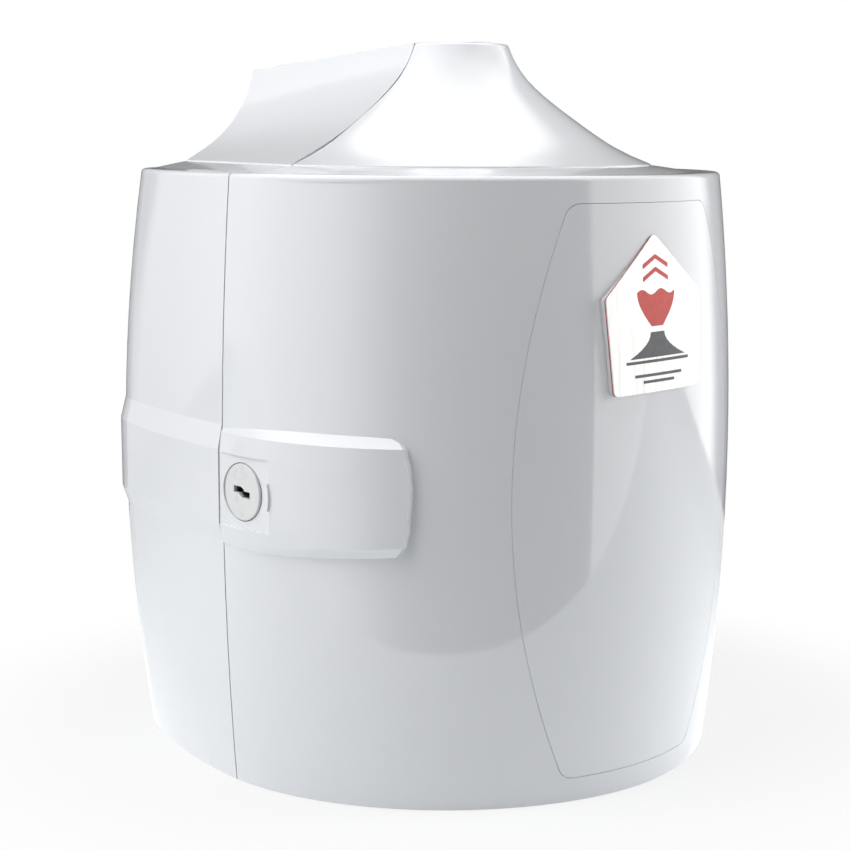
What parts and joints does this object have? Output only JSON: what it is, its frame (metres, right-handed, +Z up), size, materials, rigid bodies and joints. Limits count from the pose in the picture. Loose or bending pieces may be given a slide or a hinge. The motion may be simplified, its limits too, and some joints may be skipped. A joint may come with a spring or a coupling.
{
  "type": "wipes dispenser",
  "caption": "Wall-mounted wipes dispenser: barrel-shaped white housing with a flared nozzle turret, a hinged locking front cover and a roll tray.",
  "frame": {"origin": "centre of the four wall screw holes, on the rear shell's flat wall face", "axes": "+X to the right as a person faces the dispenser, +Y into the wall, +Z up"},
  "size_m": [0.2889, 0.269, 0.3378],
  "materials": {
    "white_shell": "high gloss moulded ABS",
    "white_panel": "high gloss moulded insert",
    "white_inner": "fine matt moulded ABS",
    "label_metal": "brushed plate with a printed pictogram",
    "nozzle_plastic": "satin moulded plastic",
    "membrane_rubber": "soft grey rubber",
    "lock_plastic": "satin pale grey moulding",
    "bracket_steel": "zinc-plated sheet",
    "pin_steel": "turned steel",
    "screw_steel": "zinc-plated screws"
  },
  "bodies": {
    "root": {"back_shell": "white_shell", "roll_tray": "white_inner", "tray_screws": "screw_steel", "strike_bracket": "bracket_steel", "strike_pin": "pin_steel", "strike_screws": "screw_steel", "hinge_pin_upper": "pin_steel", "hinge_pin_lower": "pin_steel"},
    "cover": {"front_cover": "white_shell", "front_panel": "white_panel", "label_plate": "label_metal", "nozzle_ring": "nozzle_plastic", "nozzle_membrane": "membrane_rubber", "nozzle_retainer": "nozzle_plastic", "nozzle_screws": "screw_steel", "lock_housing": "lock_plastic", "lock_screws": "screw_steel"},
    "lock": {"lock_cylinder": "lock_plastic", "lock_cam": "bracket_steel", "cam_washer": "screw_steel", "cam_screw": "screw_steel"}
  },
  "joints": [
    {"name": "cover_hinge", "type": "hinge", "parent": "root", "child": "cover", "pos_m": [0.1435, -0.134, 0], "axis": [0, 0, 1], "range_deg": [0, 120]},
    {"name": "lock_turn", "type": "hinge", "parent": "cover", "child": "lock", "pos_m": [-0.13, -0.1498, -0.0043], "axis": [-1, 0, 0], "range_deg": [0, 90]}
  ]
}
